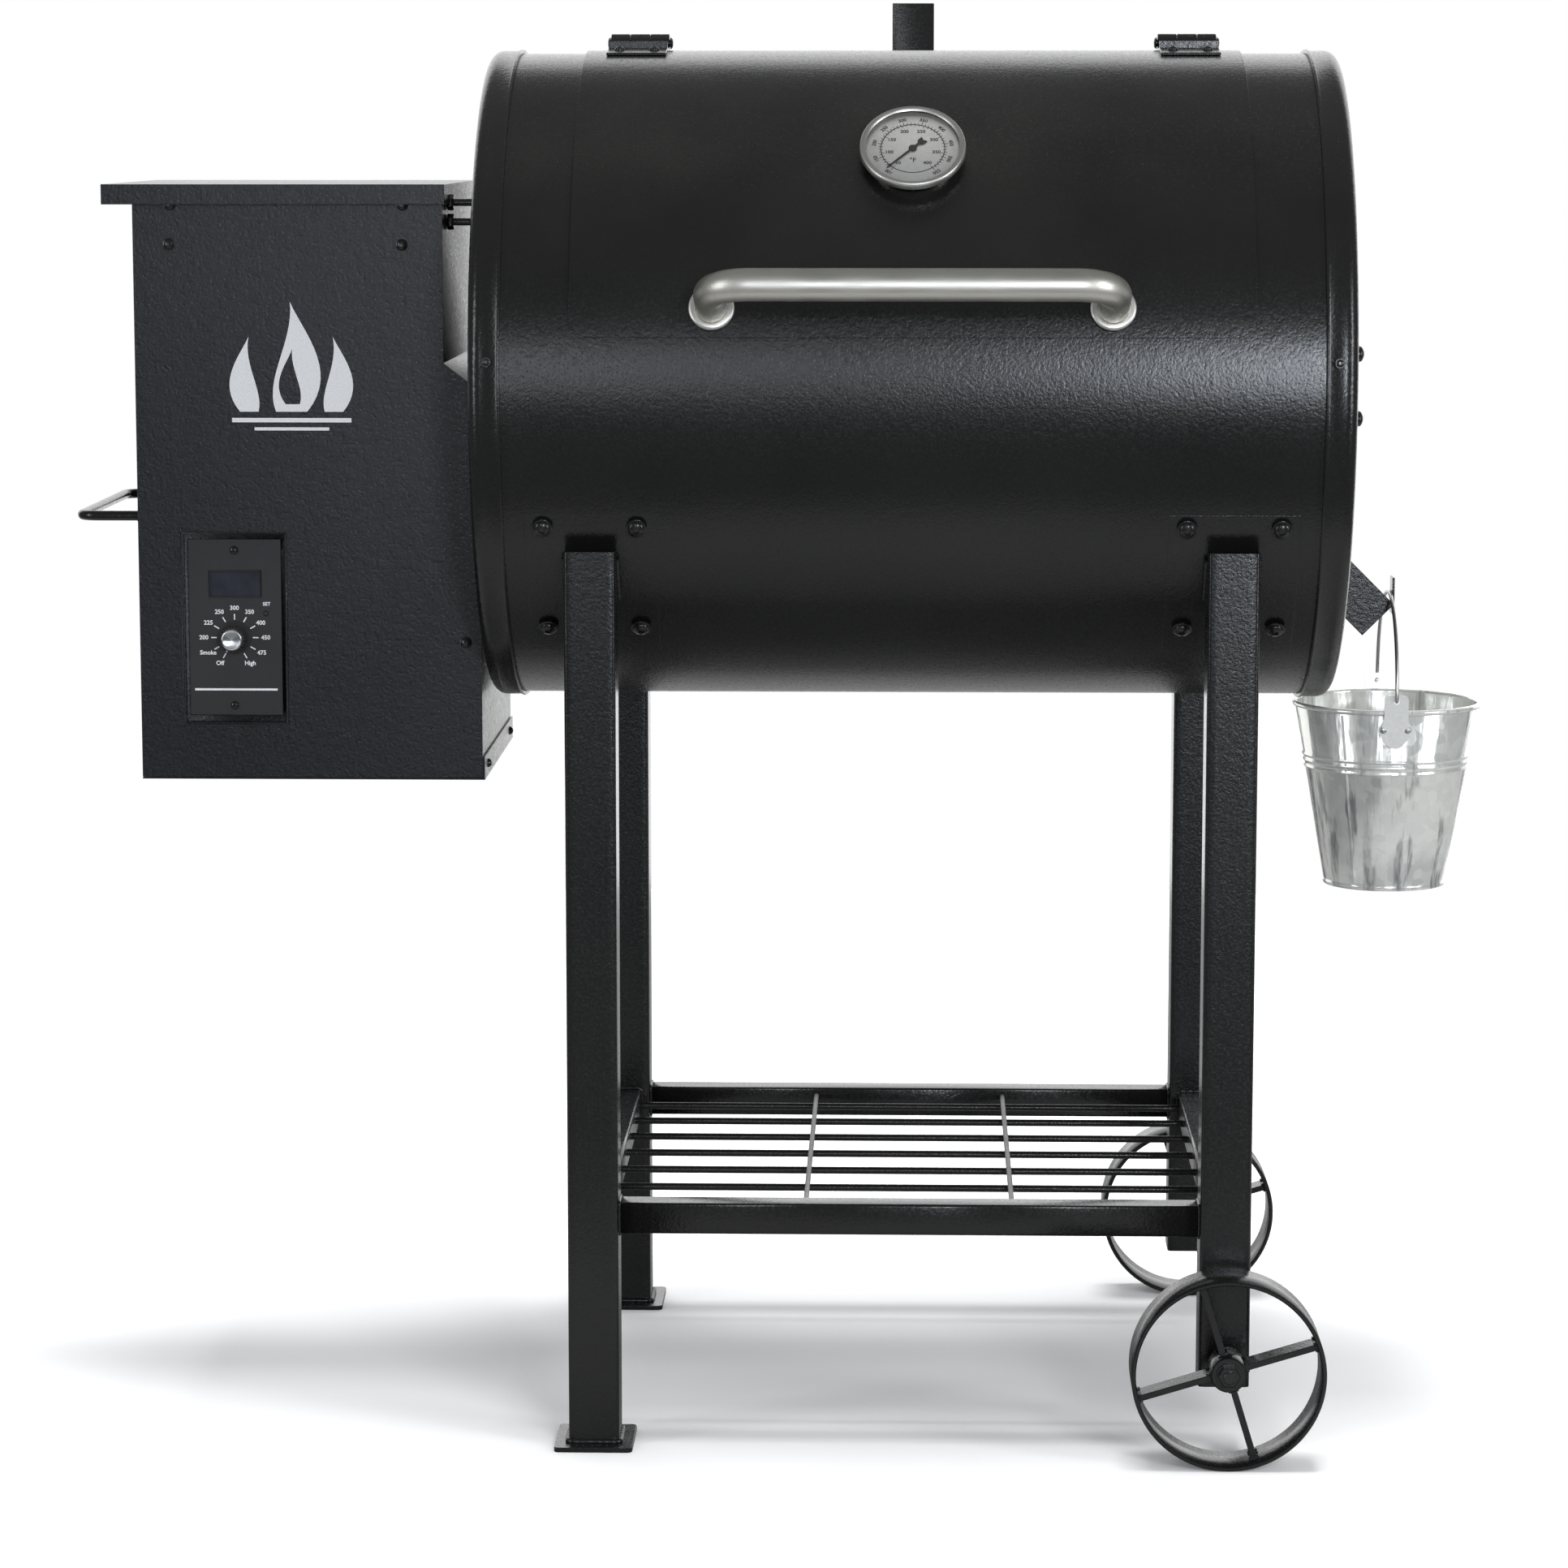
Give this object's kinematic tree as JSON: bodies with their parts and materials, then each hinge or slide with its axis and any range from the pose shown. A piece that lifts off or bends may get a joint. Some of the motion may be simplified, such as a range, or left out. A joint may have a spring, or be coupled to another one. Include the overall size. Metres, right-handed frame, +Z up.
{
  "type": "pellet smoker grill",
  "caption": "Pellet smoker grill: horizontal barrel with a top-hinged door, side pellet hopper, open shelf, two wheels, drain spout and hanging grease bucket.",
  "frame": {"origin": "on the floor, under the middle of the object's outline", "axes": "+Z up, -Y is the front where the door opens, +X towards the drain bucket; the barrel's axis runs along X"},
  "size_m": [1.1464, 0.6618, 1.144],
  "materials": {
    "black_coat": "satin black high-temperature powder coat with fine orange peel",
    "hopper_coat": "textured black powder coat with a blue cast",
    "stainless": "brushed stainless",
    "galvanised": "spangled hot-dip zinc",
    "zinc": "bright zinc plate",
    "dial_face": "satin silver dial",
    "black_plastic": "fine texture",
    "clear": "clear",
    "bare_steel": "dull oiled steel",
    "grate_enamel": "porcelain enamel"
  },
  "bodies": {
    "frame": {"barrel_shell": "black_coat", "end_cap_left": "black_coat", "end_cap_right": "black_coat", "flue": "black_coat", "drain_spout": "black_coat", "hinge_base_left": "black_coat", "hinge_base_right": "black_coat", "leg_front_left": "black_coat", "leg_rear_left": "black_coat", "leg_front_right": "black_coat", "leg_rear_right": "black_coat", "shelf_rail_front": "black_coat", "shelf_rail_rear": "black_coat", "shelf_rail_left": "black_coat", "shelf_rail_right": "black_coat", "shelf_grid": "black_coat", "lift_handle": "black_coat", "hopper_body": "hopper_coat", "hopper_lid_hinge": "hopper_coat", "hopper_pan": "hopper_coat", "panel_tray": "hopper_coat", "axle_bolt_front": "zinc", "axle_bolt_rear": "zinc", "auger_motor": "zinc", "igniter_rod": "zinc", "control_panel": "black_plastic", "controller_box": "black_plastic", "cord_gland": "black_plastic", "fan_housing": "black_plastic", "display_window": "clear", "hopper_bin": "bare_steel", "auger_tube": "bare_steel", "burn_pot": "bare_steel", "heat_deflector": "bare_steel", "drip_tray": "bare_steel", "grate_ledge_front": "bare_steel", "grate_ledge_rear": "bare_steel", "cooking_grate_left": "grate_enamel", "cooking_grate_right": "grate_enamel"},
    "door": {"door": "black_coat", "door_handle": "stainless", "handle_flange_left": "stainless", "handle_flange_right": "stainless", "hinge_leaf_left": "black_coat", "hinge_leaf_right": "black_coat", "gauge_case": "stainless", "gauge_dial": "dial_face", "gauge_glass": "clear", "gauge_stem": "zinc"},
    "needle": {"gauge_needle": "black_plastic"},
    "lid": {"hopper_lid": "hopper_coat"},
    "knob": {"control_knob": "black_plastic"},
    "button": {"set_button": "black_plastic"},
    "auger": {"auger_screw": "bare_steel"},
    "fan": {"fan_impeller": "black_plastic"},
    "front_wheel": {"wheel_front": "black_coat"},
    "rear_wheel": {"wheel_rear": "black_coat"},
    "bail": {"bucket_bail": "zinc"},
    "pail": {"bucket": "galvanised"}
  },
  "joints": [
    {"name": "door_hinge", "type": "hinge", "parent": "frame", "child": "door", "pos_m": [0.10275, 0.012, 1.1055], "axis": [-1, 0, 0], "range_deg": [0, 118]},
    {"name": "gauge_turn", "type": "hinge", "parent": "door", "child": "needle", "pos_m": [0.10275, -0.20209, 1.02218], "axis": [0, 0.7373, -0.6756], "range_deg": [0, 265], "stiffness_Nm_per_rad": 0.0004},
    {"name": "lid_hinge", "type": "hinge", "parent": "frame", "child": "lid", "pos_m": [-0.40625, 0.172, 0.988], "axis": [-1, 0, 0], "range_deg": [0, 105]},
    {"name": "knob_turn", "type": "hinge", "parent": "frame", "child": "knob", "pos_m": [-0.44335, -0.0976, 0.6295], "axis": [0, 1, 0], "range_deg": [0, 300]},
    {"name": "button_push", "type": "slide", "parent": "frame", "child": "button", "axis": [0, 1, 0], "range_m": [0, 0.0006], "stiffness_N_per_m": 300},
    {"name": "auger_turn", "type": "hinge", "parent": "frame", "child": "auger", "pos_m": [-0.19725, 0, 0.65], "axis": [1, 0, 0], "continuous": true},
    {"name": "fan_turn", "type": "hinge", "parent": "frame", "child": "fan", "pos_m": [-0.33725, 0.032, 0.53], "axis": [0, 0, 1], "continuous": true},
    {"name": "front_wheel_roll", "type": "hinge", "parent": "frame", "child": "front_wheel", "pos_m": [0.35225, -0.277, 0.076], "axis": [0, 1, 0], "continuous": true},
    {"name": "rear_wheel_roll", "type": "hinge", "parent": "frame", "child": "rear_wheel", "pos_m": [0.35225, 0.277, 0.076], "axis": [0, 1, 0], "continuous": true},
    {"name": "bail_swing", "type": "hinge", "parent": "frame", "child": "bail", "pos_m": [0.49525, 0, 0.6595], "axis": [0, 1, 0], "range_deg": [-12, 1.5]},
    {"name": "bucket_swing", "type": "hinge", "parent": "bail", "child": "pail", "pos_m": [0.49525, 0, 0.578], "axis": [0, 1, 0], "range_deg": [-60, 1]}
  ]
}
